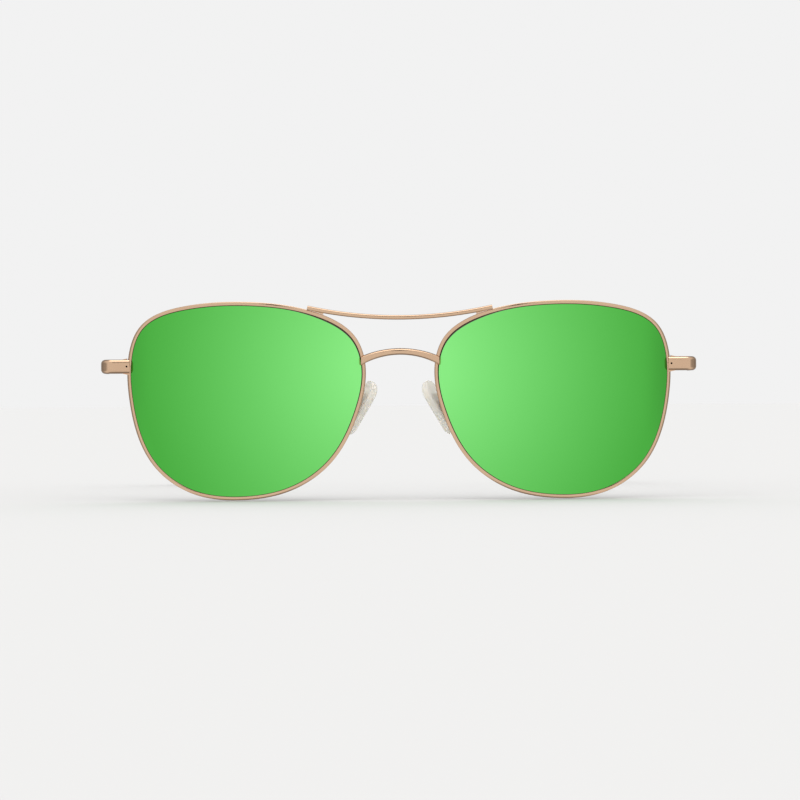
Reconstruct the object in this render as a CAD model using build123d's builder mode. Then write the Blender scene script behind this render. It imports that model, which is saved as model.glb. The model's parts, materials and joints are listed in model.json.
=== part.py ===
"""Aviator sunglasses with a double bridge, mirrored lenses and adjustable nose pads.

The glasses stand on the rims and the temple tips.  +Z is up, the lenses face -Y, the temples
run to +Y and +X is the wearer's left.  The origin is on the table, below the middle of the
whole object.  Every piece of the wearer's left side is modelled, then mirrored to the right.
"""
from build123d import *
from math import cos, radians, sin, sqrt
import os

# ---------------------------------------------------------------- overall layout
HINGE_HEIGHT = 31.85        # table to the middle of the hinges
HINGE_Y = -60.15            # hinge axis, fore and aft
HINGE_X = 67.95             # hinge axis, from the middle plane
FRONT_SETBACK = 15.0        # lens apex to hinge axis
OUTER_X = 70.8              # middle plane to the outside of the endpieces
PANTOSCOPIC_TILT = 5.0      # the rims lean back at the cheeks
FACE_WRAP = 6.0             # each lens turns back at the temple

# ---------------------------------------------------------------- lens and rim
LENS_X = 36.8               # middle plane to the lens centre
LENS_DROP = 7.44            # hinge level to the lens centre
BASE_RADIUS = 88.0          # front surface, a 6 base curve
LENS_THICKNESS = 1.8
BEVEL_SETBACK = 0.8         # front surface to the bevel's crest
BEVEL_HALF_WIDTH = 0.5
OUTLINE_SAMPLES = 44

# Bevel crest in the lens plane (temple side, up), from the split of the rim and round.
LENS_OUTLINE = [
    (27.8, 8.2), (25.2, 16.8), (13.8, 22.0), (-2.0, 22.9), (-17.0, 20.3), (-25.7, 14.5),
    (-27.8, 7.6), (-26.1, -2.4), (-19.8, -14.1), (-10.0, -20.8), (0.6, -22.9),
    (13.1, -21.4), (21.6, -15.4), (27.4, 0.5),
]

LENS_FIT = 0.05             # lens wall to the rim's inner lips
RIDGE_ROOT = 0.8            # bevel crest to the buried base of the ridge
RIDGE_FIT = 0.03            # ridge's top to the bottom of the groove's flanks
CURVE_DEPTH = 14.0          # more than the lens plane's height over the rim's lowest point

RIM_OUTSIDE = 0.55          # bevel crest to the outer wall
RIM_INSIDE = 0.42           # bevel crest to the inner lips
RIM_HALF_DEPTH = 1.05
RIM_FRONT_CHAMFER = (0.42, 0.3)     # across the front face, down the outer wall
RIM_BACK_CHAMFER = 0.25
RIM_LIP_CHAMFER = 0.12
GROOVE_HALF_FLAT = 0.12
RIM_SPLIT = 0.08            # gap that the rim screw closes
GROOVE_DEPTH = 0.08         # groove bottom, beyond the bevel crest
SOLDER_GAP = 0.05           # left between soldered pieces

# ---------------------------------------------------------------- bridge and brow bar
BRIDGE_END_X = 9.2
BRIDGE_CORNER = 6           # point of the lens outline beside the bridge
BRIDGE_END_UP = (1.08, 3.13)        # lower and upper edge at the ends, above hinge level
BRIDGE_MID_UP = (3.51, 5.01)        # the same at the middle
BRIDGE_FORWARD = (12.4, 14.2)       # back and front face, ahead of the hinge axis
BRIDGE_ROUNDING = 0.7
LAP_GAP = 0.12              # left between a rim's front and a piece that laps it
BROW_BAR_END_X = 21.8
BROW_BAR_END_UP = 14.62
BROW_BAR_MID_UP = 12.25
BROW_BAR_HEIGHT = 1.05
BROW_BAR_ROUNDING = 0.45
BROW_BAR_FORWARD = (11.75, 12.95)
BROW_BLOCK_X = (18.0, 21.6)
BROW_BLOCK_INSET = (0.1, 0.25)      # from the bar's back and front

# ---------------------------------------------------------------- endpiece and closing blocks
ENDPIECE_HEIGHT = 3.35
ENDPIECE_THICKNESS = 1.5
ENDPIECE_FRONT = 8.3        # front face, ahead of the hinge axis
ENDPIECE_START_X = 63.95
ENDPIECE_ROUNDING = 1.0
ENDPIECE_WALL = OUTER_X - ENDPIECE_THICKNESS - HINGE_X
CORNER_RADIUS = 2.0
FLARE_HEIGHT = 4.1          # lips above and below the endpiece, at the rim
FLARE_LENGTH = 1.7
FLARE_THICKNESS = 0.8
WITNESS_HOLE = (0.65, 0.23)         # from the endpiece's start, radius
BLOCK_HEIGHT = 3.3          # both closing blocks together
BLOCK_LENGTH = 3.2
BLOCK_END_X = 66.75
BLOCK_DEPTH = 2.2
BLOCK_ROUNDING = 0.35
RIM_SCREW_X = 65.55
RIM_SCREW_SHORT = 0.4       # top of the blocks to the end of the screw
SCREW_RADIUS = 0.6
RIM_SCREW_HEAD = (0.85, 0.5)        # radius, height
HEAD_CLEARANCE = 0.03
SLOT_SIZE = (0.3, 0.2)      # screwdriver slot, width and depth

# ---------------------------------------------------------------- hinge
HINGE_SPAN = 3.2            # height of the three knuckles
KNUCKLE_RADIUS = 1.15
MIDDLE_KNUCKLE = 1.0
KNUCKLE_GAP = 0.05
RUNNING_CLEARANCE = 0.03
SWEEP_RADIUS = 1.25         # clearance cut round a turning knuckle
LEAF_THICKNESS = 0.5
LEAF_LENGTH = 4.6
LEAF_HEIGHT = 2.9
HINGE_SCREW_HEAD = (0.85, 0.4)

# ---------------------------------------------------------------- temple and tip
TOE_IN = 4.5                # the open temples lean inwards
TEMPLE_THICKNESS = 1.5
BEND_START = 93.87
BEND_RADIUS = 25.0
BEND_ANGLE = 45.0
INWARD_BOW = 0.0002         # inward offset per millimetre squared
JOINT_GAP = 0.04
TEMPLE_ROUNDING = 0.42
TIP_START = 88.0
CORE_END = 136.0
CORE_RADIUS = 0.6
CORE_STEPS = 8
# distance along the temple, height, thickness
TEMPLE_SECTIONS = [(JOINT_GAP, 3.2, 1.5), (20.0, 2.5, 1.4), (55.0, 2.2, 1.2), (TIP_START, 2.0, 1.2)]
TIP_SECTIONS = [
    (TIP_START, 2.7, 2.3), (98.0, 3.2, 2.6), (112.0, 4.6, 2.9), (128.0, 6.0, 3.1),
    (140.0, 6.2, 3.1), (145.0, 4.8, 2.5), (147.0, 2.4, 1.3),
]

# ---------------------------------------------------------------- nose pads
PAD_CENTRE = (9.45, -5.5, -10.15)    # from the middle plane at the hinge axis and level
PAD_FRONTAL = 28.0          # long axis leans outwards, going down
PAD_SPLAY = 20.0            # face turns backwards
PAD_LENGTH = 14.0
PAD_RADII = (3.65, 2.6)     # rounding of the outline at the top and at the bottom
PAD_BACK = -0.9             # back face, from the pad's middle plane
PAD_FACE = 1.3
PAD_ROUNDING = (0.4, 1.1)   # round the back, round the face
PAD_AXIS = -2.1             # screw axis, from the pad's middle plane
CORE_PLATE = (7.4, 3.2, 0.5)
CORE_BACK = -0.55           # back of the plate, from the pad's middle plane
TAB_LENGTH = 1.7
TAB_ROUNDING = 0.3
TAB_BEYOND = 0.35           # past the screw axis
BOX_SIZE = (2.3, 2.6, 1.5)  # across the screw, along the pad, through the pad
BOX_FRONT = 0.75            # screw axis to the box's open side
BOX_FLOOR = 0.3
BOX_ROUNDING = 0.3
BOX_SLOT = 1.0
TAB_WIDTH = 0.9
PAD_SCREW_RADIUS = 0.4
PAD_SCREW_HEAD = (0.65, 0.3)
PAD_SCREW_SHORT = 0.2
ARM_RADIUS = 0.5
ARM_SEAT = 0.15             # how far the arm's axis ends inside the box's cheek
ARM_LEAN = Vector(0.25, 0, 0)       # outwards, for each unit that it leaves the rim backwards
PAD_ARM_SHARE = 0.48        # way round the rim to the arm's root

# ---------------------------------------------------------------- frames of reference
HINGE = Location((HINGE_X, HINGE_Y, HINGE_HEIGHT))
TEMPLE = HINGE * Location((0, 0, 0), (0, 0, TOE_IN))
# x to the wearer's left, y up the front, z forwards, from the hinge axis at the middle plane
FRONT = Plane(
    origin=(0, HINGE_Y, HINGE_HEIGHT),
    x_dir=(1, 0, 0),
    z_dir=(0, -cos(radians(PANTOSCOPIC_TILT)), -sin(radians(PANTOSCOPIC_TILT))),
)
LENS = Plane(FRONT.location * Location((LENS_X, -LENS_DROP, FRONT_SETBACK), (0, FACE_WRAP, 0)))
JOINT_FACE = Plane(TEMPLE * Location((0, 0, 0), (90, 0, 0)))


def bevel_depth(u, v):
    """Height of the bevel's crest above the lens plane, on the sphere behind the front."""
    return sqrt((BASE_RADIUS - BEVEL_SETBACK) ** 2 - u * u - v * v) - BASE_RADIUS


def crest_curve():
    with BuildLine() as crest:
        Spline(LENS_OUTLINE, periodic=True)
    return crest.edge()


CREST = crest_curve()


def outline_points(outwards=0.0):
    """Points round the lens outline from its nose side, moved outwards square to it."""
    points = []
    for step in range(OUTLINE_SAMPLES):
        share = (0.5 + step / OUTLINE_SAMPLES) % 1
        place = CREST @ share
        along = CREST % share
        points.append((place.X + along.Y * outwards, place.Y - along.X * outwards))
    return points


def bevel_path(raised=0.0, split=0.0):
    """The bevel's crest in space.  A split leaves it open by that much at its start."""
    crest = [CREST @ (i / OUTLINE_SAMPLES) for i in range(OUTLINE_SAMPLES)]
    with BuildLine(LENS) as path:
        Spline([(p.X, p.Y, bevel_depth(p.X, p.Y) + raised) for p in crest], periodic=True)
    edge = path.edge()
    if split:
        share = split / edge.length / 2
        edge = edge.trim(share, 1 - share)
    return Wire([edge])


def profile_plane(path):
    """Plane at the start of the path: x outwards from the lens, y to the back."""
    along = path % 0
    forward = LENS.z_dir
    level = (along - forward * along.dot(forward)).normalized()
    return Plane(origin=path @ 0, x_dir=level.cross(forward), z_dir=level)


def lens_prism(outwards, forward):
    """Solid filling the lens outline, from far behind to a height above the lens plane."""
    with BuildPart() as prism:
        with BuildSketch(LENS.offset(-CURVE_DEPTH)):
            with BuildLine():
                Spline(outline_points(outwards), periodic=True)
            make_face()
        extrude(amount=CURVE_DEPTH + forward)
    return prism.part


def mirrored(shape):
    """The same shape on the other side of the middle plane."""
    with BuildPart() as other:
        mirror(shape, about=Plane.YZ)
    return other.part


def lapped_envelope(corner):
    """Room for the rim, up to just over its front where a piece laps it near a corner."""
    u, v = LENS_OUTLINE[corner]
    return lens_prism(RIM_OUTSIDE + SOLDER_GAP, bevel_depth(u, v) + RIM_HALF_DEPTH + LAP_GAP)


RIM_ENVELOPE = lens_prism(RIM_OUTSIDE + SOLDER_GAP, CURVE_DEPTH)


# ---------------------------------------------------------------- lens and rim
def make_lens():
    path = bevel_path()
    with BuildPart() as lens:
        add(lens_prism(-RIM_INSIDE - LENS_FIT, CURVE_DEPTH))
        with Locations(LENS.offset(-BASE_RADIUS).location):
            Sphere(BASE_RADIUS, mode=Mode.INTERSECT)
            Sphere(BASE_RADIUS - LENS_THICKNESS, mode=Mode.SUBTRACT)
        with BuildSketch(profile_plane(path)):
            with BuildLine():
                Polyline(
                    (-RIDGE_FIT, 0),
                    (-RIDGE_ROOT, BEVEL_HALF_WIDTH + LENS_FIT),
                    (-RIDGE_ROOT, -BEVEL_HALF_WIDTH - LENS_FIT),
                    close=True,
                )
            make_face()
        sweep(path=path, binormal=bevel_path(raised=-6))
    return lens.part


def make_rim():
    """The eyewire: a grooved wire round the lens, split where the closing blocks meet."""
    path = bevel_path(split=RIM_SPLIT)
    chamfer_across, chamfer_down = RIM_FRONT_CHAMFER
    groove_half = BEVEL_HALF_WIDTH + LENS_FIT
    with BuildPart() as rim:
        with BuildSketch(profile_plane(path)):
            with BuildLine():
                Polyline(
                    (RIM_OUTSIDE, -RIM_HALF_DEPTH + chamfer_down),
                    (RIM_OUTSIDE, RIM_HALF_DEPTH - RIM_BACK_CHAMFER),
                    (RIM_OUTSIDE - RIM_BACK_CHAMFER, RIM_HALF_DEPTH),
                    (-RIM_INSIDE, RIM_HALF_DEPTH),
                    (-RIM_INSIDE, groove_half),
                    (GROOVE_DEPTH, GROOVE_HALF_FLAT),
                    (GROOVE_DEPTH, -GROOVE_HALF_FLAT),
                    (-RIM_INSIDE, -groove_half),
                    (-RIM_INSIDE, -RIM_HALF_DEPTH + RIM_LIP_CHAMFER),
                    (-RIM_INSIDE + RIM_LIP_CHAMFER, -RIM_HALF_DEPTH),
                    (RIM_OUTSIDE - chamfer_across, -RIM_HALF_DEPTH),
                    close=True,
                )
            make_face()
        sweep(path=path, binormal=bevel_path(raised=-6, split=RIM_SPLIT))
    return rim.part


# ---------------------------------------------------------------- closing blocks and endpiece
def block_box(bottom, top):
    """Closing block behind the endpiece, between two heights from the hinge level."""
    front_y = HINGE_Y - ENDPIECE_FRONT + ENDPIECE_THICKNESS
    with BuildPart() as block:
        with BuildSketch(Plane.XY.offset(HINGE_HEIGHT + bottom)):
            with Locations((BLOCK_END_X, front_y)):
                Rectangle(BLOCK_LENGTH, BLOCK_DEPTH, align=(Align.MAX, Align.MIN))
        extrude(amount=top - bottom)
        fillet(block.edges().filter_by(Axis.Z).group_by(Axis.X)[-1], BLOCK_ROUNDING)
        add(RIM_ENVELOPE, mode=Mode.SUBTRACT)
    return block.part


def rim_screw_place(height):
    front_y = HINGE_Y - ENDPIECE_FRONT + ENDPIECE_THICKNESS
    return Location((RIM_SCREW_X, front_y + BLOCK_DEPTH / 2, HINGE_HEIGHT + height))


def make_closing_block_upper():
    """Upper half, with a blind hole for the end of the screw."""
    with BuildPart() as block:
        add(block_box(RIM_SPLIT / 2, BLOCK_HEIGHT / 2))
        with Locations(rim_screw_place(0)):
            Cylinder(SCREW_RADIUS, BLOCK_HEIGHT - 2 * RIM_SCREW_SHORT, mode=Mode.SUBTRACT)
    return block.part


def make_closing_block_lower():
    head_radius, head_height = RIM_SCREW_HEAD
    with BuildPart() as block:
        add(block_box(-BLOCK_HEIGHT / 2, -RIM_SPLIT / 2))
        with Locations(rim_screw_place(0)):
            Cylinder(SCREW_RADIUS, 2 * BLOCK_HEIGHT, mode=Mode.SUBTRACT)
        with Locations(rim_screw_place(-BLOCK_HEIGHT / 2)):
            Cylinder(head_radius + HEAD_CLEARANCE, 2 * head_height, mode=Mode.SUBTRACT)
    return block.part


def make_rim_screw():
    head_radius, head_height = RIM_SCREW_HEAD
    slot_width, slot_depth = SLOT_SIZE
    upwards = (Align.CENTER, Align.CENTER, Align.MIN)
    with BuildPart() as screw:
        with Locations(rim_screw_place(-BLOCK_HEIGHT / 2)):
            Cylinder(head_radius, head_height, align=upwards)
            Cylinder(SCREW_RADIUS, BLOCK_HEIGHT - RIM_SCREW_SHORT, align=upwards)
            Box(2 * head_radius, slot_width, 2 * slot_depth, mode=Mode.SUBTRACT)
    return screw.part


def make_endpiece():
    """Bar that laps the rim, turns the front corner and runs back to the temple joint."""
    back_y = HINGE_Y - ENDPIECE_FRONT + ENDPIECE_THICKNESS
    middle_y = back_y - ENDPIECE_THICKNESS / 2
    leg_x = OUTER_X - ENDPIECE_THICKNESS / 2
    flare_end = ENDPIECE_START_X + FLARE_LENGTH
    flare_top = HINGE_HEIGHT + FLARE_HEIGHT / 2
    flare_bottom = HINGE_HEIGHT - FLARE_HEIGHT / 2
    hole_inset, hole_radius = WITNESS_HOLE
    with BuildPart() as endpiece:
        with BuildLine(Plane.XY.offset(HINGE_HEIGHT)) as path:
            FilletPolyline(
                (ENDPIECE_START_X, middle_y),
                (leg_x, middle_y),
                (leg_x, HINGE_Y + ENDPIECE_THICKNESS),
                radius=CORNER_RADIUS,
            )
        start = Plane(
            origin=(ENDPIECE_START_X, middle_y, HINGE_HEIGHT), x_dir=(0, -1, 0), z_dir=(1, 0, 0)
        )
        with BuildSketch(start) as section:
            Rectangle(ENDPIECE_THICKNESS, ENDPIECE_HEIGHT)
            outer = section.vertices().filter_by(lambda v: start.to_local_coords(v).X > 0)
            fillet(outer, ENDPIECE_ROUNDING)
        sweep(path=path.wire())
        split(bisect_by=JOINT_FACE, keep=Keep.TOP)
        with BuildSketch(Plane.XZ.offset(-back_y)):
            with BuildLine():
                Polyline(
                    (ENDPIECE_START_X, flare_bottom),
                    (flare_end, HINGE_HEIGHT - ENDPIECE_HEIGHT / 2),
                    (flare_end, HINGE_HEIGHT + ENDPIECE_HEIGHT / 2),
                    (ENDPIECE_START_X, flare_top),
                    close=True,
                )
            make_face()
        extrude(amount=FLARE_THICKNESS)
        add(lapped_envelope(0), mode=Mode.SUBTRACT)
        with BuildSketch(Plane.XZ.offset(-HINGE_Y)):
            with Locations((ENDPIECE_START_X + hole_inset, HINGE_HEIGHT)):
                Circle(hole_radius)
        extrude(amount=2 * ENDPIECE_FRONT, mode=Mode.SUBTRACT)
    return endpiece.part


# ---------------------------------------------------------------- hinge
def knuckle_levels():
    """Bottom and top of the lower, middle and upper knuckle, from the hinge level."""
    half = HINGE_SPAN / 2
    middle = MIDDLE_KNUCKLE / 2
    return [(-half, -middle - KNUCKLE_GAP), (-middle, middle), (middle + KNUCKLE_GAP, half)]


def leaf(frame, side, own_levels, other_levels, bore):
    """Hinge leaf in the frame of its arm: side is -1 ahead of the joint and +1 behind it."""
    centre_y = side * (JOINT_GAP + LEAF_LENGTH / 2)
    with BuildPart() as part:
        with BuildSketch(Plane(frame * Location((0, 0, -LEAF_HEIGHT / 2)))):
            with Locations((ENDPIECE_WALL - LEAF_THICKNESS / 2, centre_y)):
                Rectangle(LEAF_THICKNESS, LEAF_LENGTH)
        extrude(amount=LEAF_HEIGHT)
        for bottom, top in own_levels:
            with BuildSketch(Plane(frame * Location((0, 0, bottom)))):
                Circle(KNUCKLE_RADIUS)
                with Locations((ENDPIECE_WALL / 2, side * KNUCKLE_RADIUS / 2)):
                    Rectangle(ENDPIECE_WALL, KNUCKLE_RADIUS)
            extrude(amount=top - bottom)
        for bottom, top in other_levels:
            with BuildSketch(Plane(frame * Location((0, 0, bottom - KNUCKLE_GAP)))):
                Circle(SWEEP_RADIUS)
            extrude(amount=top - bottom + 2 * KNUCKLE_GAP, mode=Mode.SUBTRACT)
        with Locations(frame):
            Cylinder(bore, 2 * HINGE_SPAN, mode=Mode.SUBTRACT)
    return part.part


def make_hinge_front():
    lower, middle, upper = knuckle_levels()
    head_radius, head_height = HINGE_SCREW_HEAD
    with BuildPart() as part:
        add(leaf(HINGE, -1, [lower, upper], [middle], SCREW_RADIUS))
        with Locations(HINGE * Location((0, 0, HINGE_SPAN / 2))):
            Cylinder(head_radius + HEAD_CLEARANCE, 2 * head_height, mode=Mode.SUBTRACT)
    return part.part


def make_hinge_temple():
    lower, middle, upper = knuckle_levels()
    return leaf(TEMPLE, 1, [middle], [lower, upper], SCREW_RADIUS + RUNNING_CLEARANCE)


def make_hinge_screw():
    head_radius, head_height = HINGE_SCREW_HEAD
    slot_width, slot_depth = SLOT_SIZE
    downwards = (Align.CENTER, Align.CENTER, Align.MAX)
    with BuildPart() as screw:
        with Locations(HINGE * Location((0, 0, HINGE_SPAN / 2))):
            Cylinder(head_radius, head_height, align=downwards)
            Cylinder(SCREW_RADIUS, HINGE_SPAN, align=downwards)
            Box(2 * head_radius, slot_width, 2 * slot_depth, mode=Mode.SUBTRACT)
    return screw.part


# ---------------------------------------------------------------- temple and tip
def temple_point(distance):
    """Centre line of the temple: level, then a bend down, then straight to the tip."""
    bend = radians(BEND_ANGLE)
    past = min(max(distance - BEND_START, 0), BEND_RADIUS * bend)
    rest = max(distance - BEND_START - BEND_RADIUS * bend, 0)
    turned = past / BEND_RADIUS
    y = min(distance, BEND_START) + BEND_RADIUS * sin(turned) + rest * cos(bend)
    z = -BEND_RADIUS * (1 - cos(turned)) - rest * sin(bend)
    middle_x = OUTER_X - TEMPLE_THICKNESS / 2 - HINGE_X
    return Vector(middle_x - INWARD_BOW * y * y, y, z)


def temple_plane(distance):
    """Section plane square to the temple: x across it, y up it."""
    step = 0.01
    along = (temple_point(distance + step) - temple_point(distance - step)).normalized()
    if distance < 1:
        along = Vector(0, 1, 0)
    across = along.cross(Vector(0, 0, 1)).normalized()
    local = Plane(origin=temple_point(distance), x_dir=across, z_dir=along)
    return Plane(TEMPLE * local.location)


def core_path(start, end):
    """Smooth line along the temple's centre, for the wire inside the tip."""
    places = [start + (end - start) * i / CORE_STEPS for i in range(CORE_STEPS + 1)]
    with BuildLine() as path:
        Spline([temple_plane(place).origin for place in places])
    return path


def make_temple():
    with BuildPart() as temple:
        for distance, height, thickness in TEMPLE_SECTIONS:
            with BuildSketch(temple_plane(distance)):
                RectangleRounded(thickness, height, TEMPLE_ROUNDING)
        loft()
        path = core_path(TIP_START - 1, CORE_END)
        with BuildSketch(temple_plane(TIP_START - 1)):
            Circle(CORE_RADIUS)
        sweep(path=path.wire())
    return temple.part


def make_temple_tip(temple):
    with BuildPart() as tip:
        for distance, height, thickness in TIP_SECTIONS:
            with BuildSketch(temple_plane(distance)):
                Ellipse(thickness / 2, height / 2)
        loft()
        add(temple, mode=Mode.SUBTRACT)
    return tip.part


# ---------------------------------------------------------------- bridge and brow bar
def arch(end_x, end_up, mid_up):
    return ThreePointArc((-end_x, end_up), (0, mid_up), (end_x, end_up))


def make_brow_bar():
    """Square-cut bar, bowed down in the middle, resting on the rims' tops."""
    back, front = BROW_BAR_FORWARD
    with BuildPart() as bar:
        with BuildLine(FRONT.offset((back + front) / 2)) as path:
            arch(BROW_BAR_END_X, BROW_BAR_END_UP, BROW_BAR_MID_UP)
        start = Plane(origin=path.line @ 0, x_dir=FRONT.z_dir, z_dir=path.line % 0)
        with BuildSketch(start):
            RectangleRounded(front - back, BROW_BAR_HEIGHT, BROW_BAR_ROUNDING)
        sweep(path=path.wire())
        add(RIM_ENVELOPE, mode=Mode.SUBTRACT)
        add(mirrored(RIM_ENVELOPE), mode=Mode.SUBTRACT)
    return bar.part


def make_brow_bar_block(bar):
    """Wedge of solder between the rim and the brow bar's end."""
    inner, outer = BROW_BLOCK_X
    back, front = BROW_BAR_FORWARD
    back_inset, front_inset = BROW_BLOCK_INSET
    bottom = BROW_BAR_MID_UP - BROW_BAR_HEIGHT / 2
    with BuildPart() as block:
        with BuildSketch(FRONT.offset(back + back_inset)):
            with BuildLine():
                Polyline(
                    (inner, bottom),
                    (inner, BROW_BAR_END_UP - BROW_BAR_HEIGHT),
                    (outer, BROW_BAR_END_UP),
                    (outer, bottom),
                    close=True,
                )
            make_face()
        extrude(amount=front - back - back_inset - front_inset)
        add(RIM_ENVELOPE, mode=Mode.SUBTRACT)
        add(bar, mode=Mode.SUBTRACT)
    return block.part


def make_bridge():
    """Arched bar whose ends lap over the rims and drop between them."""
    back, front = BRIDGE_FORWARD
    notch = lapped_envelope(BRIDGE_CORNER)
    with BuildPart() as bridge:
        with BuildSketch(FRONT.offset(back)):
            with BuildLine():
                lower = arch(BRIDGE_END_X, BRIDGE_END_UP[0], BRIDGE_MID_UP[0])
                upper = arch(BRIDGE_END_X, BRIDGE_END_UP[1], BRIDGE_MID_UP[1])
                Line(lower @ 0, upper @ 0)
                Line(lower @ 1, upper @ 1)
            make_face()
        extrude(amount=front - back)
        forwards = Axis(FRONT.origin, FRONT.z_dir)
        front_face = bridge.faces().sort_by(forwards)[-1]
        fillet(front_face.edges().filter_by(GeomType.CIRCLE), BRIDGE_ROUNDING)
        add(notch, mode=Mode.SUBTRACT)
        add(mirrored(notch), mode=Mode.SUBTRACT)
    return bridge.part


# ---------------------------------------------------------------- nose pads
def pad_frame():
    """Plane of the nose pad: x from back to front, y up the pad, z out of its face."""
    lean = radians(PAD_FRONTAL)
    splay = radians(PAD_SPLAY)
    face = Vector(-cos(lean) * cos(splay), sin(splay), -sin(lean) * cos(splay))
    along = Vector(-sin(lean), 0, cos(lean))
    x, y, z = PAD_CENTRE
    centre = (x, HINGE_Y + y, HINGE_HEIGHT + z)
    return Plane(origin=centre, x_dir=along.cross(face), z_dir=face)


PAD = pad_frame()
PAD_PIN = Plane(PAD.location * Location((0, 0, PAD_AXIS), (0, 90, 0)))
PAD_OUT = Axis(PAD.origin, PAD.z_dir)
PAD_ACROSS = Axis(PAD.origin, PAD.x_dir)


def pin_cylinder(radius, start, end, mode=Mode.ADD):
    """Cylinder on the pad's screw axis between two distances from the pad's middle."""
    with Locations(PAD_PIN.offset(start).location):
        low = (Align.CENTER, Align.CENTER, Align.MIN)
        return Cylinder(radius, end - start, align=low, mode=mode)


def make_pad_core():
    """Metal insert: a plate moulded into the pad, with the tab that the screw passes."""
    length, width, thickness = CORE_PLATE
    with BuildPart() as core:
        with BuildSketch(PAD.offset(CORE_BACK)):
            SlotOverall(length, width, rotation=90)
        extrude(amount=thickness)
        with BuildSketch(PAD.offset(CORE_BACK)):
            Rectangle(TAB_WIDTH, TAB_LENGTH)
        extrude(amount=PAD_AXIS - TAB_BEYOND - CORE_BACK)
        edges = core.faces().sort_by(PAD_OUT)[0].edges().filter_by(PAD_ACROSS)
        fillet(edges, TAB_ROUNDING)
        pin_cylinder(PAD_SCREW_RADIUS + RUNNING_CLEARANCE, -TAB_WIDTH, TAB_WIDTH, Mode.SUBTRACT)
    return core.part


def make_nose_pad(core):
    back_rounding, face_rounding = PAD_ROUNDING
    upper, lower = PAD_RADII
    with BuildPart() as pad:
        with BuildSketch(PAD.offset(PAD_BACK)):
            with Locations((0, PAD_LENGTH / 2 - upper)):
                Circle(upper)
            with Locations((0, lower - PAD_LENGTH / 2)):
                Circle(lower)
            make_hull()
        extrude(amount=PAD_FACE - PAD_BACK)
        fillet(pad.faces().sort_by(PAD_OUT)[-1].edges(), face_rounding)
        fillet(pad.faces().sort_by(PAD_OUT)[0].edges(), back_rounding)
        add(core, mode=Mode.SUBTRACT)
    return pad.part


def make_pad_box():
    """Open box on the arm's end, with two cheeks that hold the screw."""
    across, along, through = BOX_SIZE
    with BuildPart() as box:
        with BuildSketch(PAD.offset(PAD_AXIS + BOX_FRONT)):
            RectangleRounded(across, along, BOX_ROUNDING)
        extrude(amount=-through)
        with BuildSketch(PAD.offset(PAD_AXIS + BOX_FRONT)):
            Rectangle(BOX_SLOT, 2 * along)
        extrude(amount=BOX_FLOOR - through, mode=Mode.SUBTRACT)
        pin_cylinder(PAD_SCREW_RADIUS, -across, across, Mode.SUBTRACT)
    return box.part


def make_pad_screw():
    head_radius, head_height = PAD_SCREW_HEAD
    slot_width, slot_depth = SLOT_SIZE
    half = BOX_SIZE[0] / 2
    head_top = -half - head_height
    with BuildPart() as screw:
        pin_cylinder(PAD_SCREW_RADIUS, head_top, half - PAD_SCREW_SHORT)
        pin_cylinder(head_radius, head_top, -half)
        with Locations(PAD_PIN.offset(head_top).location):
            Box(slot_width, 2 * head_radius, 2 * slot_depth, mode=Mode.SUBTRACT)
    return screw.part


def make_pad_arm(box):
    """Bent wire from the back of the rim to the front cheek of the pad box."""
    path = bevel_path(split=RIM_SPLIT)
    root = path @ PAD_ARM_SHARE
    end = PAD_PIN.offset(BOX_SIZE[0] / 2 - ARM_SEAT).origin
    backwards = -LENS.z_dir
    with BuildPart() as arm:
        with BuildLine() as line:
            Spline(root, end, tangents=(backwards + ARM_LEAN, -PAD_PIN.z_dir))
        with BuildSketch(Plane(origin=root, z_dir=line.edge() % 0)):
            Circle(ARM_RADIUS)
        sweep(path=line.wire())
        place = LENS.to_local_coords(root)
        split(bisect_by=LENS.offset(place.Z - RIM_HALF_DEPTH - SOLDER_GAP), keep=Keep.BOTTOM)
        add(box, mode=Mode.SUBTRACT)
    return arm.part


# ---------------------------------------------------------------- export
def write(name, shape):
    with BuildPart() as piece:
        add(shape)
    piece.part.label = name
    export_step(piece.part, f"parts/{name}.step")


def main():
    os.makedirs("parts", exist_ok=True)
    bar = make_brow_bar()
    temple = make_temple()
    core = make_pad_core()
    box = make_pad_box()
    write("bridge", make_bridge())
    write("brow_bar", bar)
    side_pieces = {
        "lens": make_lens(),
        "rim": make_rim(),
        "closing_block_upper": make_closing_block_upper(),
        "closing_block_lower": make_closing_block_lower(),
        "rim_screw": make_rim_screw(),
        "endpiece": make_endpiece(),
        "hinge_front": make_hinge_front(),
        "hinge_temple": make_hinge_temple(),
        "hinge_screw": make_hinge_screw(),
        "temple": temple,
        "temple_tip": make_temple_tip(temple),
        "pad_arm": make_pad_arm(box),
        "pad_box": box,
        "pad_screw": make_pad_screw(),
        "pad_core": core,
        "nose_pad": make_nose_pad(core),
        "brow_bar_block": make_brow_bar_block(bar),
    }
    for name, shape in side_pieces.items():
        write(f"left_{name}", shape)
        write(f"right_{name}", mirrored(shape))


main()
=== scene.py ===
import json
import math

import bpy
import numpy as np
from mathutils import Matrix, Vector


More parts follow.
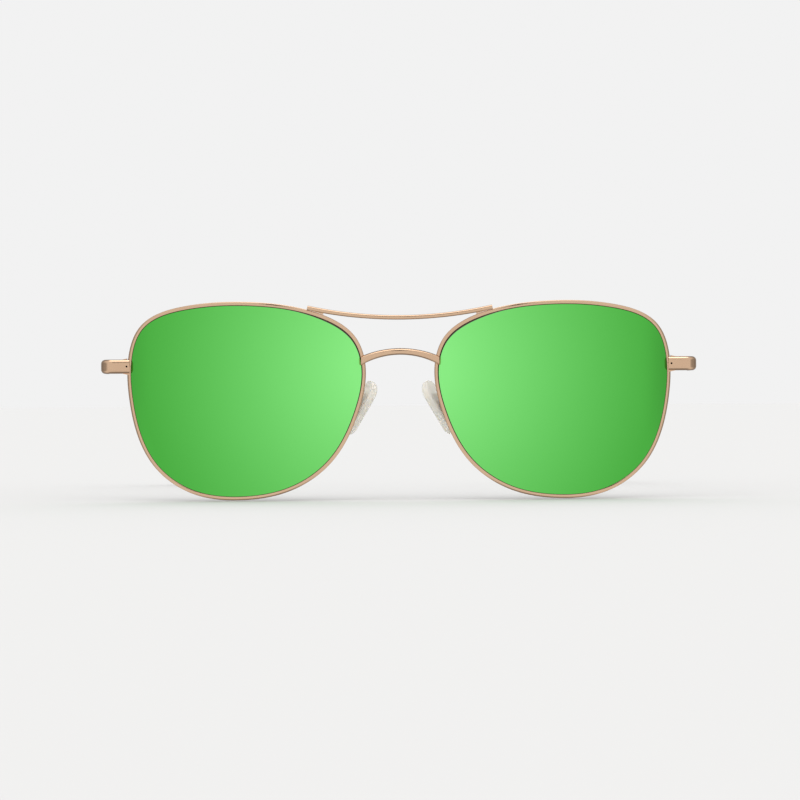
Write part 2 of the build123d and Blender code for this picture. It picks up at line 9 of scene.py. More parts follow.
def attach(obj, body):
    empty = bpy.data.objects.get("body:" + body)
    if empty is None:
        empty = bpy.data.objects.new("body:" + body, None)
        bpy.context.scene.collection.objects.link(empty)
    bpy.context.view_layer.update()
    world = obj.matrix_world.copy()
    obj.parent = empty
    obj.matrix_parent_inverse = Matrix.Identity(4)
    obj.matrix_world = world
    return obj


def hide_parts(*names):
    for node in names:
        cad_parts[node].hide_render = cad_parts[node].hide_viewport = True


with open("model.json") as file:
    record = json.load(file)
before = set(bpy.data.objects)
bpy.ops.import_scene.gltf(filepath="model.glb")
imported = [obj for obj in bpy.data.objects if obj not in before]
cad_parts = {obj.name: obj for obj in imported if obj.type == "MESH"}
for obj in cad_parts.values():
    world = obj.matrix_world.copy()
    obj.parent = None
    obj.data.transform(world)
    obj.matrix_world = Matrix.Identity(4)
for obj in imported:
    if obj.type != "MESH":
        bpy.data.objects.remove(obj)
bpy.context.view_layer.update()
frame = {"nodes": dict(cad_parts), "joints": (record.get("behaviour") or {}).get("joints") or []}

MM = 0.001
SIDES = ("left", "right")

# ---------------------------------------------------------------- places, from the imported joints
JOINTS = {joint["name"]: joint for joint in frame["joints"]}
HINGE = Vector(JOINTS["left_temple_fold"]["pos_m"]) / MM
PANTOSCOPIC_TILT = math.radians(5)
FACE_WRAP = math.radians(6)
LENS_CENTRE = (36.8, -7.44, 15.0)         # in the front's frame: sideways, up, forwards
TOE_IN = math.radians(4.5)
PAD_LEAN = math.radians(28)
PAD_SPLAY = math.radians(20)
PAD_CENTRE = (9.45, -5.5, -10.15)         # from the hinge axis and level, at the middle plane


def placed(origin, x_axis, z_axis):
    """Matrix of a frame with that origin, x axis and z axis."""
    x = Vector(x_axis).normalized()
    z = Vector(z_axis).normalized()
    matrix = Matrix((x, z.cross(x), z)).transposed().to_4x4()
    matrix.translation = origin
    return matrix


FRONT = placed(
    (0, HINGE.y, HINGE.z), (1, 0, 0), (0, -math.cos(PANTOSCOPIC_TILT), -math.sin(PANTOSCOPIC_TILT))
)
LENS = FRONT @ Matrix.Translation(LENS_CENTRE) @ Matrix.Rotation(FACE_WRAP, 4, "Y")
TEMPLE = Matrix.Translation(HINGE) @ Matrix.Rotation(TOE_IN, 4, "Z")
PAD_ALONG = Vector((-math.sin(PAD_LEAN), 0, math.cos(PAD_LEAN)))
PAD_OUT = Vector((
    -math.cos(PAD_LEAN) * math.cos(PAD_SPLAY),
    math.sin(PAD_SPLAY),
    -math.sin(PAD_LEAN) * math.cos(PAD_SPLAY),
))
PAD = placed(
    (PAD_CENTRE[0], HINGE.y + PAD_CENTRE[1], HINGE.z + PAD_CENTRE[2]), PAD_ALONG.cross(PAD_OUT), PAD_OUT
)

# ---------------------------------------------------------------- lens outline
BASE_RADIUS = 88.0
LENS_THICKNESS = 1.8
BEVEL_SETBACK = 0.8         # front surface back to the bevel's crest
ROUND_COUNT = 264
KNOT_STEPS = 60             # points worked out between two knots, before they are evened out
# the bevel's crest, seen along the lens's axis
LENS_OUTLINE = [
    (27.8, 8.2), (25.2, 16.8), (13.8, 22.0), (-2.0, 22.9), (-17.0, 20.3), (-25.7, 14.5),
    (-27.8, 7.6), (-26.1, -2.4), (-19.8, -14.1), (-10.0, -20.8), (0.6, -22.9),
    (13.1, -21.4), (21.6, -15.4), (27.4, 0.5),
]


def closed_spline(points, count):
    """Smooth closed curve through the points: positions and tangents at equal steps of length."""
    knots = np.array(points, float)
    after = np.roll(knots, -1, axis=0)
    step = np.linalg.norm(after - knots, axis=1)
    n = len(knots)
    rows = np.zeros((n, n))
    slopes = (after - knots) / step[:, None]
    for i in range(n):
        rows[i, i - 1] = step[i - 1]
        rows[i, i] = 2 * (step[i - 1] + step[i])
        rows[i, (i + 1) % n] = step[i]
    bend = np.linalg.solve(rows, 6 * (slopes - np.roll(slopes, 1, axis=0)))
    dense = []
    for i in range(n):
        a, b, h = bend[i], bend[(i + 1) % n], step[i]
        for s in np.linspace(0, 1, KNOT_STEPS, endpoint=False):
            t = s * h
            rest = h - t
            dense.append(
                (a * rest**3 + b * t**3) / (6 * h)
                + (knots[i] / h - a * h / 6) * rest
                + (after[i] / h - b * h / 6) * t
            )
    dense = np.array(dense + [dense[0]])
    length = np.concatenate([[0], np.cumsum(np.linalg.norm(np.diff(dense, axis=0), axis=1))])
    wanted = np.linspace(0, length[-1], count, endpoint=False)
    place = np.stack([np.interp(wanted, length, dense[:, k]) for k in range(2)], axis=1)
    along = np.roll(place, -1, axis=0) - np.roll(place, 1, axis=0)
    return place, along / np.linalg.norm(along, axis=1)[:, None]


CREST, CREST_ALONG = closed_spline(LENS_OUTLINE, ROUND_COUNT)
CREST_OUT = np.stack([CREST_ALONG[:, 1], -CREST_ALONG[:, 0]], axis=1)


def sphere_height(place, setback):
    """Height over the lens plane of the sphere that lies a setback behind the front surface."""
    return np.sqrt((BASE_RADIUS - setback) ** 2 - (place**2).sum(axis=-1)) - BASE_RADIUS


def in_row_frame(matrix, points):
    """Points in millimetres in a frame, as metres in the row frame."""
    rotation = np.array(matrix.to_3x3())
    return (np.asarray(points, float) @ rotation.T + np.array(matrix.translation)) * MM


# ---------------------------------------------------------------- meshes
def add_piece(name, points, faces, materials, kinds, body, sharp, replaced):
    """A mesh piece in the row frame, smooth except over edges sharper than the angle."""
    mesh = bpy.data.meshes.new(name)
    mesh.from_pydata([tuple(p) for p in points], [], faces)
    for material in materials:
        mesh.materials.append(material)
    mesh.polygons.foreach_set("material_index", kinds if kinds else [0] * len(faces))
    mesh.shade_smooth()
    mesh.set_sharp_from_angle(angle=math.radians(sharp))
    mesh.validate()
    piece = bpy.data.objects.new(name, mesh)
    bpy.context.scene.collection.objects.link(piece)
    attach(piece, body)
    if replaced:
        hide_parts(*replaced)


def flipped(faces):
    """The same faces, turned to look the other way."""
    return [tuple(face[::-1]) for face in faces]


def add_pair(name, points, faces, materials, body, node, sharp, kinds=None):
    """The same piece on the wearer's left and, mirrored, on the right."""
    for side in SIDES:
        points_there = np.array(points, float)
        faces_there = faces
        if side == "right":
            points_there[:, 0] *= -1
            faces_there = flipped(faces)
        ridden = body if body == "front" else f"{side}_{body}"
        replaced = [f"{side}_{node}"] if node else []
        add_piece(
            f"{side}_{name}", points_there, faces_there, materials, kinds, ridden, sharp, replaced
        )


def tube_faces(rings, around):
    """Quads between rings of points, facing outwards where rings turn anticlockwise about their way."""
    faces = []
    for i in range(0, (rings - 1) * around, around):
        for k in range(around):
            m = (k + 1) % around
            faces.append((i + k, i + m, i + around + m, i + around + k))
    return faces


def flat_ended(rings, around):
    """Faces of a tube closed by a flat face at each end."""
    last = (rings - 1) * around
    ends = [tuple(reversed(range(around))), tuple(last + k for k in range(around))]
    return tube_faces(rings, around) + ends


def point_ended(rings, around):
    """Faces of a tube closed by fans, to a point that comes before the rings and one that comes after."""
    last = 1 + (rings - 1) * around
    end = last + around
    faces = [(0, 1 + (k + 1) % around, 1 + k) for k in range(around)]
    faces += [tuple(1 + i for i in face) for face in tube_faces(rings, around)]
    return faces + [(end, last + k, last + (k + 1) % around) for k in range(around)]


CORNER_STEPS = 3


def rounded(corners, radius):
    """Closed polygon with its corners rounded off."""
    corners = np.array(corners, float)
    points = []
    for before, corner, after in zip(np.roll(corners, 1, 0), corners, np.roll(corners, -1, 0)):
        to_before = (before - corner) / np.linalg.norm(before - corner)
        to_after = (after - corner) / np.linalg.norm(after - corner)
        reach = min(radius, np.linalg.norm(before - corner) / 2.2, np.linalg.norm(after - corner) / 2.2)
        start = corner + to_before * reach
        end = corner + to_after * reach
        for s in np.linspace(0, 1, CORNER_STEPS + 1):
            points.append((1 - s) ** 2 * start + 2 * s * (1 - s) * corner + s**2 * end)
    return np.array(points)


# ---------------------------------------------------------------- node trees
class NodeTree:
    """A node tree, with a short call for adding a node and joining it."""

    def __init__(self, tree):
        self.tree = tree
        self.tree.nodes.clear()

    def add(self, kind, values=None, **settings):
        """A node whose inputs get the values: a socket is linked, anything else is set."""
        made = self.tree.nodes.new("ShaderNode" + kind)
        for name, value in settings.items():
            setattr(made, name, value)
        for socket, value in (values or {}).items():
            name = socket.replace("_", " ") if isinstance(socket, str) else socket
            if isinstance(value, bpy.types.NodeSocket):
                self.tree.links.new(value, made.inputs[name])
            else:
                made.inputs[name].default_value = value
        return made


class Shader(NodeTree):
    """A principled material, with short calls for its textures."""

    def __init__(self, name, **surface):
        self.material = bpy.data.materials.new(name)
        self.material.use_nodes = True
        super().__init__(self.material.node_tree)
        self.surface = self.add("BsdfPrincipled", surface)
        self.add("OutputMaterial", {"Surface": self.surface.outputs[0]})
        self.place = self.add("TexCoord").outputs["Object"]

    def join(self, socket, output):
        """Link an output to an input of the surface."""
        self.tree.links.new(output, self.surface.inputs[socket])

    def noise(self, size, detail=3.0, distortion=0.0, place=None, roughness=0.5):
        """Noise whose features are about that size, in millimetres."""
        values = {
            "Vector": place or self.place, "Scale": 1 / (size * MM), "Detail": detail,
            "Distortion": distortion, "Roughness": roughness,
        }
        return self.add("TexNoise", values).outputs[0]

    def ramp(self, share, stops):
        """Colour from stops of position and colour."""
        made = self.add("ValToRGB", {"Fac": share})
        elements = made.color_ramp.elements
        while len(elements) < len(stops):
            elements.new(0.5)
        for element, (position, colour) in zip(elements, stops):
            element.position = position
            element.color = (*colour, 1)
        return made.outputs[0]

    def spread(self, share, low, high, start=0.0, end=1.0):
        """From low at the start to high at the end."""
        values = {"Value": share, "From Min": start, "From Max": end, "To Min": low, "To Max": high}
        return self.add("MapRange", values).outputs[0]

    def bump(self, height, depth, strength):
        """Normal for a relief of that depth, in millimetres."""
        values = {"Height": height, "Distance": depth * MM, "Strength": strength}
        return self.add("Bump", values).outputs[0]


def satin_metal(name, pale, deep, smooth, rough, grain=0.12):
    """Plated metal: slow drift between two tones, a fine satin grain and soft handling marks."""
    shader = Shader(name, Metallic=1.0)
    drift = shader.noise(9, detail=2)
    shader.join("Base Color", shader.ramp(drift, [(0.3, deep), (0.7, pale)]))
    handling = shader.noise(2.2, detail=6, distortion=0.6)
    shader.join("Roughness", shader.spread(handling, smooth, rough, 0.3, 0.7))
    fine = shader.noise(grain, detail=4)
    shader.join("Normal", shader.bump(fine, 0.004, 0.5))
    return shader.material


# painted reflection: the mirror's tone runs from pale near the bridge to deep far from it
MIRROR_NEAR = 11.0          # millimetres from the middle of the bridge, at hinge level
MIRROR_FAR = 61.0
MIRROR_PALE = (0.557, 0.961, 0.535)       # display values
MIRROR_DEEP = (0.316, 0.705, 0.285)
DISPLAY_GAMMA = 2.2


def lens_mirror():
    """Green mirror coating with a painted reflection: its tone deepens with distance from the bridge."""
    shader = Shader("lens_mirror", Metallic=1.0)
    centre = (0, 0, HINGE.z * MM)
    offset = shader.add("VectorMath", {0: shader.place, 1: centre}, operation="SUBTRACT").outputs[0]
    flat = shader.add("VectorMath", {0: offset, 1: (1, 0, 1)}, operation="MULTIPLY").outputs[0]
    distance = shader.add("VectorMath", {0: flat}, operation="LENGTH").outputs["Value"]
    cloud = shader.spread(shader.noise(14, detail=2), -0.0004, 0.0004)
    wavering = shader.add("Math", {0: distance, 1: cloud}, operation="ADD").outputs[0]
    share = shader.spread(wavering, 0, 1, MIRROR_NEAR * MM, MIRROR_FAR * MM)
    tone = shader.ramp(share, [(0, MIRROR_PALE), (1, MIRROR_DEEP)])
    shader.join("Base Color", shader.add("Gamma", {"Color": tone, "Gamma": DISPLAY_GAMMA}).outputs[0])
    haze = shader.noise(6, detail=5, distortion=0.4)
    shader.join("Roughness", shader.spread(haze, 0.05, 0.09, 0.3, 0.7))
    return shader.material


TINT_TOP = 47.0             # height at which the tint is deepest


def lens_tint(name, pale, deep, rough):
    """Dark tinted plastic of the lens's back and edge."""
    shader = Shader(name, IOR=1.5, Coat_Weight=0.6, Coat_Roughness=0.02)
    height = shader.add("SeparateXYZ", {0: shader.place}).outputs["Z"]
    share = shader.spread(height, 0, 1, 0.0, TINT_TOP * MM)
    shader.join("Base Color", shader.ramp(share, [(0, pale), (1, deep)]))
    haze = shader.noise(5, detail=4)
    shader.join("Roughness", shader.spread(haze, rough, rough + 0.05, 0.3, 0.7))
    return shader.material


def silicone():
    """Translucent moulded silicone, faintly cloudy, with a matt moulding grain."""
    shader = Shader(
        "pad_silicone", IOR=1.41, Subsurface_Weight=0.6, Subsurface_Radius=(1.0, 0.9, 0.75),
        Subsurface_Scale=0.003, Transmission_Weight=0.2, Coat_Weight=0.1, Alpha=0.62,
    )
    cloud = shader.noise(2.4, detail=4, distortion=0.5)
    stops = [(0.3, (0.96, 0.88, 0.76)), (0.7, (0.99, 0.93, 0.83))]
    shader.join("Base Color", shader.ramp(cloud, stops))
    shader.join("Roughness", shader.spread(shader.noise(0.8), 0.34, 0.5, 0.3, 0.7))
    shader.join("Normal", shader.bump(shader.noise(0.25, detail=2), 0.006, 0.4))
    return shader.material


def tortoise():
    """Polished brown acetate with dark drifting flecks and amber between them."""
    shader = Shader(
        "tip_acetate", IOR=1.49, Coat_Weight=0.7, Coat_Roughness=0.05, Subsurface_Weight=0.08,
        Subsurface_Radius=(1.0, 0.45, 0.2), Subsurface_Scale=0.001,
    )
    stretched = shader.add("Mapping", {"Vector": shader.place, "Scale": (1, 0.55, 1)}).outputs[0]
    flecks = shader.noise(5.5, detail=3.5, distortion=1.6, place=stretched, roughness=0.55)
    stops = [
        (0.36, (0.012, 0.006, 0.004)), (0.48, (0.06, 0.02, 0.008)), (0.58, (0.19, 0.07, 0.018)),
        (0.72, (0.36, 0.15, 0.04)),
    ]
    shader.join("Base Color", shader.ramp(flecks, stops))
    shader.join("Roughness", shader.spread(shader.noise(3, detail=5), 0.13, 0.24, 0.3, 0.7))
    shader.join("Normal", shader.bump(shader.noise(1.6, detail=2), 0.01, 0.25))
    return shader.material


ROSE = satin_metal("frame_metal", (0.70, 0.485, 0.325), (0.66, 0.445, 0.300), 0.13, 0.22)
STEEL = satin_metal("screw_steel", (0.62, 0.60, 0.57), (0.52, 0.50, 0.47), 0.2, 0.36, grain=0.07)
# painted shade: near-black metal that darkens the endpieces' holes
HOLE_SHADE_BLACK = satin_metal(
    "painted_hole_shade", (0.018, 0.014, 0.012), (0.010, 0.008, 0.007), 0.35, 0.5, grain=0.05
)
MIRROR = lens_mirror()
TINT = lens_tint("lens_back", (0.030, 0.044, 0.030), (0.012, 0.020, 0.014), 0.04)
EDGE = lens_tint("lens_edge", (0.010, 0.010, 0.008), (0.014, 0.009, 0.007), 0.25)
SILICONE = silicone()
ACETATE = tortoise()

# ---------------------------------------------------------------- lenses
LENS_EDGE = 0.425           # bevel crest in to the lens's wall
RIDGE_HALF = 0.314          # half width of the bevel ridge at the wall
RIDGE_CREST = 0.03          # how far the ridge's crest is blunted
CHAMFER_WIDTH = 0.005
PAINTED_SHADE_WIDTH = 0.26        # painted shade: the front edge's dark band widens here, up towards the bridge, for the rim lip's shadow
PAINTED_SHADE_BEARING = math.radians(140)
PAINTED_SHADE_SPREAD = math.radians(17)
CHAMFER_SLOPE = 0.7
BACK_BREAK = 0.06           # broken edge between wall and back
FACE_RINGS = 26
RING_TURN = math.radians(88.2)            # crowds the front's rings towards its edge
LENS_KINDS = [MIRROR, EDGE, TINT]
MIRROR_KIND, EDGE_KIND, TINT_KIND = range(len(LENS_KINDS))


def make_lenses():
    """Mirrored front, bevelled wall and tinted back, in rings from the front's middle to the back's."""
    bearing = np.arctan2(CREST[:, 1], CREST[:, 0])
    # painted shade: the front edge's chamfer widens to a dark band, widest up towards the bridge, for the
    # shadow of the rim's lip
    away = np.angle(np.exp(1j * (bearing - PAINTED_SHADE_BEARING))) / PAINTED_SHADE_SPREAD
    chamfer_and_shade_band = CHAMFER_WIDTH + PAINTED_SHADE_WIDTH * np.exp(-(away**2))
    wall = CREST - CREST_OUT * LENS_EDGE
    mirror_edge = wall - CREST_OUT * chamfer_and_shade_band[:, None]
    inner = wall - CREST_OUT * BACK_BREAK
    # place, height, and the kind of the faces between this ring and the one before
    rings = []
    for s in np.linspace(0, 1, FACE_RINGS)[1:]:
        place = mirror_edge * math.sin(s * RING_TURN) / math.sin(RING_TURN)
        rings.append((place, sphere_height(place, 0), MIRROR_KIND))
    rings += [
        (wall, sphere_height(wall, 0) - chamfer_and_shade_band * CHAMFER_SLOPE, EDGE_KIND),
        (wall, sphere_height(wall, BEVEL_SETBACK - RIDGE_HALF), EDGE_KIND),
        (CREST - CREST_OUT * RIDGE_CREST, sphere_height(CREST, BEVEL_SETBACK), EDGE_KIND),
        (wall, sphere_height(wall, BEVEL_SETBACK + RIDGE_HALF), EDGE_KIND),
        (wall, sphere_height(wall, LENS_THICKNESS - BACK_BREAK), EDGE_KIND),
        (inner, sphere_height(inner, LENS_THICKNESS), EDGE_KIND),
    ]
    for s in np.linspace(1, 0, FACE_RINGS)[1:-1]:
        rings.append((inner * s, sphere_height(inner * s, LENS_THICKNESS), TINT_KIND))
    points = [(0, 0, 0)]
    kinds = []
    for place, height, kind in rings:
        points.extend(np.column_stack([place, height]))
        kinds += [kind] * ROUND_COUNT
    points.append((0, 0, -LENS_THICKNESS))
    kinds += [TINT_KIND] * ROUND_COUNT
    faces = flipped(point_ended(len(rings), ROUND_COUNT))
    add_pair(
        "lens_blank", in_row_frame(LENS, points), faces, LENS_KINDS, "front", "lens",
        sharp=12, kinds=kinds,
    )


# ---------------------------------------------------------------- rims
RIM_SPLIT = 0.08            # gap between the rim's two ends, closed by the blocks and the screw
RIM_ROUNDING = 0.10
# outwards from the bevel's crest, backwards from it
RIM_PROFILE = [
    (0.55, -0.70), (0.50, -0.30), (0.36, 0.55), (0.18, 1.05), (-0.42, 1.05), (-0.42, 0.55), (0.08, 0.12),
    (0.08, -0.12), (-0.42, -0.55), (-0.42, -0.79), (-0.15, -0.94), (0.13, -0.98),
]


def make_rims():
    """Grooved wire swept round the lens, from one side of the split to the other."""
    profile = rounded(RIM_PROFILE, RIM_ROUNDING)
    lengths = np.linalg.norm(np.roll(CREST, -1, 0) - CREST, axis=1)
    shift = RIM_SPLIT / 2
    first = CREST[0] + (CREST[1] - CREST[0]) * shift / lengths[0]
    last = CREST[0] + (CREST[-1] - CREST[0]) * shift / lengths[-1]
    places = np.vstack([first, CREST[1:], last])
    outwards = np.vstack([CREST_OUT, CREST_OUT[0]])
    points = []
    for place, outward in zip(places, outwards):
        height = sphere_height(place, BEVEL_SETBACK)
        for out, back in profile:
            points.append((*(place + outward * out), height - back))
    faces = flat_ended(len(places), len(profile))
    add_pair("eyewire", in_row_frame(LENS, points), faces, [ROSE], "front", "rim", sharp=40)


# ---------------------------------------------------------------- nose pads
PAD_HALF_LENGTH = 7.0
PAD_UPPER = 3.65            # radii of the outline's rounded ends
PAD_LOWER = 2.6
PAD_BACK = -0.9             # heights from the pad's own middle
PAD_FACE = 1.3
PAD_BACK_ROUND = 0.4
PAD_FACE_ROUND = 1.1
PAD_DOME = 0.12             # how far the face bulges
PAD_BACK_INSETS = (2.3, 1.3, 0.8)
# inset from the outline, height over the face's flank
PAD_DOME_STEPS = ((1.4, 0.03), (1.8, 0.06), (2.1, 0.08), (2.4, 0.095))
PAD_AROUND = 76


def pad_outline(inset):
    """Outline of two rounded ends joined by straight flanks, moved inwards."""
    upper = PAD_HALF_LENGTH - PAD_UPPER
    lower = PAD_LOWER - PAD_HALF_LENGTH
    tangent = -math.asin((PAD_UPPER - PAD_LOWER) / (upper - lower))
    points = []
    for turn in np.linspace(0, 2 * math.pi, PAD_AROUND, endpoint=False):
        c, s = math.cos(turn), math.sin(turn)
        middle, radius = (upper, PAD_UPPER) if s > math.sin(tangent) else (lower, PAD_LOWER)
        points.append(((radius - inset) * c, middle + (radius - inset) * s))
    return np.array(points)


def pad_profile():
    """Inset from the outline and height, from the middle of the back to the middle of the face."""
    flank = PAD_FACE - PAD_DOME
    steps = [(inset, PAD_BACK) for inset in PAD_BACK_INSETS]
    for turn in np.linspace(0, math.pi / 2, 6):
        inset = PAD_BACK_ROUND * (1 - math.sin(turn))
        steps.append((inset, PAD_BACK + PAD_BACK_ROUND * (1 - math.cos(turn))))
    for turn in np.linspace(0, math.pi / 2, 9):
        inset = PAD_FACE_ROUND * (1 - math.cos(turn))
        steps.append((inset, flank - PAD_FACE_ROUND * (1 - math.sin(turn))))
    return steps + [(inset, flank + lift) for inset, lift in PAD_DOME_STEPS]


def make_nose_pads():
    """Moulded pads, in rings from the middle of the back to the middle of the face."""
    profile = pad_profile()
    points = [(0, 0, PAD_BACK)]
    for inset, height in profile:
        points.extend((x, y, height) for x, y in pad_outline(inset))
    points.append((0, 0, PAD_FACE))
    faces = point_ended(len(profile), PAD_AROUND)
    add_pair(
        "pad_moulding", in_row_frame(PAD, points), faces, [SILICONE], "pad", "nose_pad",
        sharp=60,
    )


# ---------------------------------------------------------------- temple tips
BEND_START = 93.87          # from the hinge, along the temple
BEND_RADIUS = 25.0
BEND_ANGLE = math.radians(45)
INWARD_BOW = 0.0002         # times the square of the distance behind the hinge
OUTER_X = 70.8
TEMPLE_THICKNESS = 1.5
TIP_START = 88.0            # distances from the hinge, along the temple
TIP_STATIONS = [
    TIP_START, 88.12, 88.4, *np.linspace(89, 143, 55), 144.0, 145.0, 145.8, 146.4, 146.75, 146.9,
]
# distance from the hinge, height, thickness
TIP_SECTIONS = np.array([
    (TIP_START, 2.7, 2.3), (98.0, 3.2, 2.6), (112.0, 4.6, 2.9), (128.0, 6.0, 3.1), (140.0, 6.2, 3.1),
])
MOUTH_SHARE = 0.86          # size of the sleeve's mouth, which rounds out over its length
MOUTH_LENGTH = 0.4
END_START = 143.4           # where the rounded end begins
END_LENGTH = 3.57
END_POWER = 2.2
TIP_SQUARENESS = 0.85       # 1 is an ellipse, less is squarer
TIP_AROUND = 48


def temple_point(distance):
    """Middle of the temple at a distance from the hinge: straight, bent down, then straight again."""
    past = min(max(distance - BEND_START, 0), BEND_RADIUS * BEND_ANGLE)
    rest = max(distance - BEND_START - BEND_RADIUS * BEND_ANGLE, 0)
    turned = past / BEND_RADIUS
    y = min(distance, BEND_START) + BEND_RADIUS * math.sin(turned) + rest * math.cos(BEND_ANGLE)
    z = -BEND_RADIUS * (1 - math.cos(turned)) - rest * math.sin(BEND_ANGLE)
    return Vector((OUTER_X - TEMPLE_THICKNESS / 2 - HINGE.x - INWARD_BOW * y * y, y, z))


def tip_share(distance):
    """Size of the section there as a share of its full size: less at the mouth and at the rounded end."""
    mouth = MOUTH_SHARE + (1 - MOUTH_SHARE) * math.sqrt(min((distance - TIP_START) / MOUTH_LENGTH, 1.0))
    closing = max(0.0, (distance - END_START) / END_LENGTH)
    return mouth * math.sqrt(1 - closing**END_POWER)


def make_temple_tips():
    """Sleeves lofted through rounded sections along the temple."""
    points = []
    for distance in TIP_STATIONS:
        share = tip_share(distance)
        height = np.interp(distance, TIP_SECTIONS[:, 0], TIP_SECTIONS[:, 1]) * share
        thick = np.interp(distance, TIP_SECTIONS[:, 0], TIP_SECTIONS[:, 2]) * share
        centre = temple_point(distance)
        along = (temple_point(distance + 0.01) - temple_point(distance - 0.01)).normalized()
        across = along.cross(Vector((0, 0, 1))).normalized()
        up = across.cross(along)
        for turn in np.linspace(0, 2 * math.pi, TIP_AROUND, endpoint=False):
            c, s = math.cos(turn), math.sin(turn)
            x = math.copysign(abs(c) ** TIP_SQUARENESS, c) * thick / 2
            y = math.copysign(abs(s) ** TIP_SQUARENESS, s) * height / 2
            points.append(tuple(centre + across * x + up * y))
    faces = flipped(flat_ended(len(TIP_STATIONS), TIP_AROUND))
    add_pair(
        "tip_sleeve", in_row_frame(TEMPLE, points), faces, [ACETATE], "temple", "temple_tip",
        sharp=45,
    )


# ---------------------------------------------------------------- plugs in the endpieces' holes, dark as painted shade
HOLE_X = 64.6
HOLE_RADIUS = 0.22
ENDPIECE_FRONT = 8.3        # endpiece's face, ahead of the hinge axis
# depth below the endpiece's face, radius as a share of the hole's
PLUG_MIDDLE = 0.42
PLUG_TURNING = [(0.38, 0.5), (0.26, 0.85), (0.20, 0.97), (0.26, 1.0), (0.8, 1.0)]
PLUG_BACK = 0.8
PLUG_AROUND = 24


def make_hole_plugs():
    """Near-black dished plugs, turned about the holes' axes: painted shade for the shadow inside the holes.
    """
    front = HINGE.y - ENDPIECE_FRONT
    points = [(HOLE_X, front + PLUG_MIDDLE, HINGE.z)]
    for depth, share in PLUG_TURNING:
        reach = share * HOLE_RADIUS
        for turn in np.linspace(0, 2 * math.pi, PLUG_AROUND, endpoint=False):
            x = HOLE_X + reach * math.cos(turn)
            points.append((x, front + depth, HINGE.z + reach * math.sin(turn)))
    points.append((HOLE_X, front + PLUG_BACK, HINGE.z))
    faces = flipped(point_ended(len(PLUG_TURNING), PLUG_AROUND))
    add_pair(
        "hole_plug", np.array(points) * MM, faces, [HOLE_SHADE_BLACK], "front", None, sharp=50
    )


# ---------------------------------------------------------------- carried-over CAD nodes
STEEL_NODES = ("rim_screw", "hinge_screw", "pad_screw", "pad_core")


def finish_cad_nodes():
    """Steel for the screws and pad cores, rose metal for the rest."""
    for name, node in frame["nodes"].items():
        kind = STEEL if name.partition("_")[2] in STEEL_NODES else ROSE
        node.data.materials.clear()
        node.data.materials.append(kind)


# ---------------------------------------------------------------- studio
BACKDROP = 0.887            # the pale grey behind the object, in linear light
STUDIO_LEVEL = 0.92         # what polished surfaces reflect
ROOM_LEVEL = 1.35           # light on matt surfaces
DAYLIGHT = (1, 0.995, 0.985, 1)
# the reflected studio: part of the direction where a change starts and ends, factor before and after it
DARK_GROUND = (-0.97, -0.84, 0.35, STUDIO_LEVEL)
TOP_LIGHT = (0.88, 0.99, 1.0, 3.2)
SIDE_WALLS = (0.70, 0.97, 1.0, 0.45)
BACK_WALL = (0.0, 0.65, 1.0, 0.4)
# a dark screen between the front light and the top light, right over the camera
SCREEN_BOTTOM = (0.37, 0.44, 0.0, 1.0)
SCREEN_TOP = (0.87, 0.93, 1.0, 0.0)
SCREEN_SIDES = (0.03, 0.09, 1.0, 0.0)
SCREEN_DEPTH = (-0.1, 0.05, 1.0, 0.0)
SCREEN_SHADE = (0.0, 1.0, 1.0, 0.02)


def make_world():
    """Plain backdrop for the camera, a graded studio for reflections, an even room for the rest."""
    world = bpy.data.worlds.new("studio")
    bpy.context.scene.world = world
    world.use_nodes = True
    sky = NodeTree(world.node_tree)
    direction = sky.add("SeparateXYZ", {0: sky.add("TexCoord").outputs["Generated"]})
    side = sky.add("Math", {0: direction.outputs["X"]}, operation="ABSOLUTE").outputs[0]
    back = direction.outputs["Y"]
    up = direction.outputs["Z"]

    def fade(value, change):
        start, end, before, after = change
        values = {"Value": value, "From Min": start, "From Max": end, "To Min": before, "To Max": after}
        return sky.add("MapRange", values, interpolation_type="SMOOTHSTEP").outputs[0]

    def product(parts):
        total = parts[0]
        for part in parts[1:]:
            total = sky.add("Math", {0: total, 1: part}, operation="MULTIPLY").outputs[0]
        return total

    def background(colour, strength):
        return sky.add("Background", {"Color": colour, "Strength": strength}).outputs[0]

    screen = product([
        fade(up, SCREEN_BOTTOM), fade(up, SCREEN_TOP), fade(side, SCREEN_SIDES), fade(back, SCREEN_DEPTH),
    ])
    reflected = product([
        fade(up, DARK_GROUND), fade(up, TOP_LIGHT), fade(side, SIDE_WALLS), fade(back, BACK_WALL),
        fade(screen, SCREEN_SHADE),
    ])
    studio = background(DAYLIGHT, reflected)
    room = background(DAYLIGHT, ROOM_LEVEL)
    backdrop = background((1, 1, 1, 1), BACKDROP)
    path = sky.add("LightPath")
    lit = sky.add("MixShader", {0: path.outputs["Is Glossy Ray"], 1: room, 2: studio}).outputs[0]
    seen = sky.add("MixShader", {0: path.outputs["Is Camera Ray"], 1: lit, 2: backdrop}).outputs[0]
    sky.add("OutputWorld", {"Surface": seen})


FLOOR_HALF = 12.0           # metres
FLOOR_DROP = 0.0002
FLOOR_TONE = 0.58


def make_floor():
    """Pale matt floor just under the object, left out of reflections."""
    corners = [(-1, -1), (1, -1), (1, 1), (-1, 1)]
    mesh = bpy.data.meshes.new("floor")
    mesh.from_pydata([(x * FLOOR_HALF, y * FLOOR_HALF, 0) for x, y in corners], [], [(0, 1, 2, 3)])
    grey = (FLOOR_TONE, FLOOR_TONE, FLOOR_TONE, 1)
    shader = Shader("floor", Base_Color=grey, Specular_IOR_Level=0.0, Roughness=1.0)
    mesh.materials.append(shader.material)
    floor = bpy.data.objects.new("floor", mesh)
    bpy.context.scene.collection.objects.link(floor)
    floor.location.z = -FLOOR_DROP
    floor.visible_glossy = False


# name, strength, and in degrees: spread, round from the front, down from overhead
SUNS = (("key", 0.42, 40, -30, 25), ("fill", 0.2, 60, 40, 35))


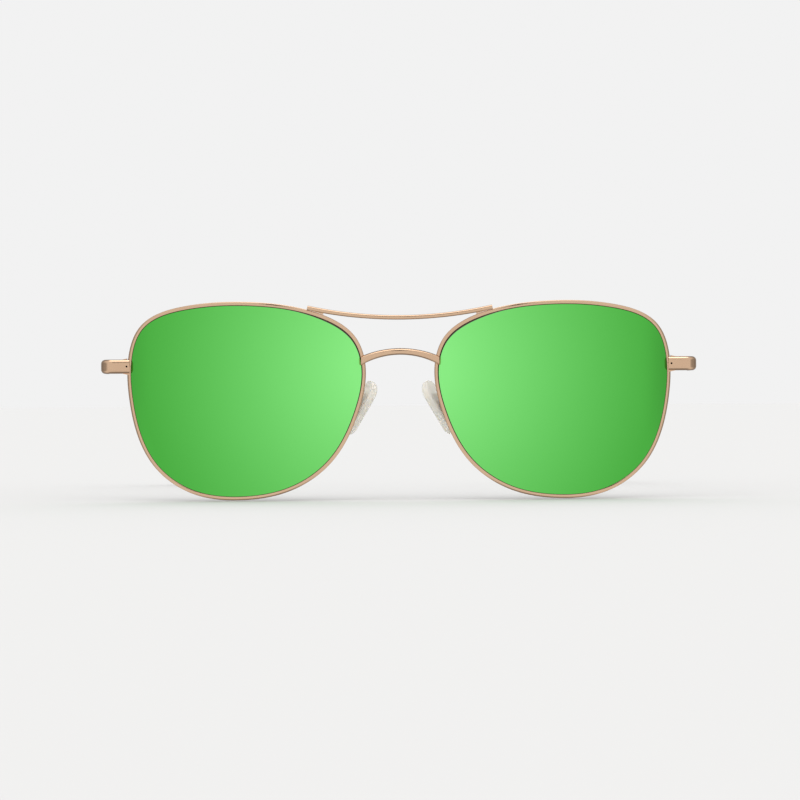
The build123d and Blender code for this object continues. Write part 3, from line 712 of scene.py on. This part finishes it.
def make_lights():
    """Two broad soft suns."""
    for name, strength, spread, azimuth, from_top in SUNS:
        light = bpy.data.lights.new(name, "SUN")
        light.energy = strength
        light.angle = math.radians(spread)
        lamp = bpy.data.objects.new(name, light)
        turn, fall = math.radians(azimuth), math.radians(from_top)
        source = Vector((math.sin(turn) * math.sin(fall), -math.cos(turn) * math.sin(fall), math.cos(fall)))
        lamp.rotation_mode = "QUATERNION"
        lamp.rotation_quaternion = source.to_track_quat("Z", "Y")
        lamp.visible_glossy = False
        bpy.context.scene.collection.objects.link(lamp)


SENSOR_WIDTH = 36.0
CAMERA_DISTANCE = 700.0
CAMERA_AZIMUTH = math.radians(-1.4)
CAMERA_ROLL = math.radians(-0.37)
CAMERA_TARGET = (-0.13, -15.0, -8.32)     # from the hinge axis and level, at the middle plane
PICTURE_WIDTH = 187.8                    # millimetres across the picture at the target


def make_camera():
    """Camera at the height of the lenses, nearly straight ahead, turned and tilted a little."""
    data = bpy.data.cameras.new("camera")
    data.sensor_width = SENSOR_WIDTH
    data.lens = SENSOR_WIDTH * CAMERA_DISTANCE / PICTURE_WIDTH
    data.clip_start = 0.05
    data.clip_end = 100.0
    camera = bpy.data.objects.new("camera", data)
    bpy.context.scene.collection.objects.link(camera)
    target = Vector((CAMERA_TARGET[0], HINGE.y + CAMERA_TARGET[1], HINGE.z + CAMERA_TARGET[2])) * MM
    back = Vector((math.sin(CAMERA_AZIMUTH), -math.cos(CAMERA_AZIMUTH), 0))
    turn = back.to_track_quat("Z", "Y").to_matrix().to_4x4() @ Matrix.Rotation(CAMERA_ROLL, 4, "Z")
    camera.matrix_world = Matrix.Translation(target + back * CAMERA_DISTANCE * MM) @ turn
    bpy.context.scene.camera = camera
    bpy.context.scene.view_settings.view_transform = "Standard"
    bpy.context.scene.view_settings.look = "None"


make_lenses()
make_rims()
make_nose_pads()
make_temple_tips()
make_hole_plugs()
finish_cad_nodes()
make_world()
make_floor()
make_lights()
make_camera()

bpy.context.view_layer.update()
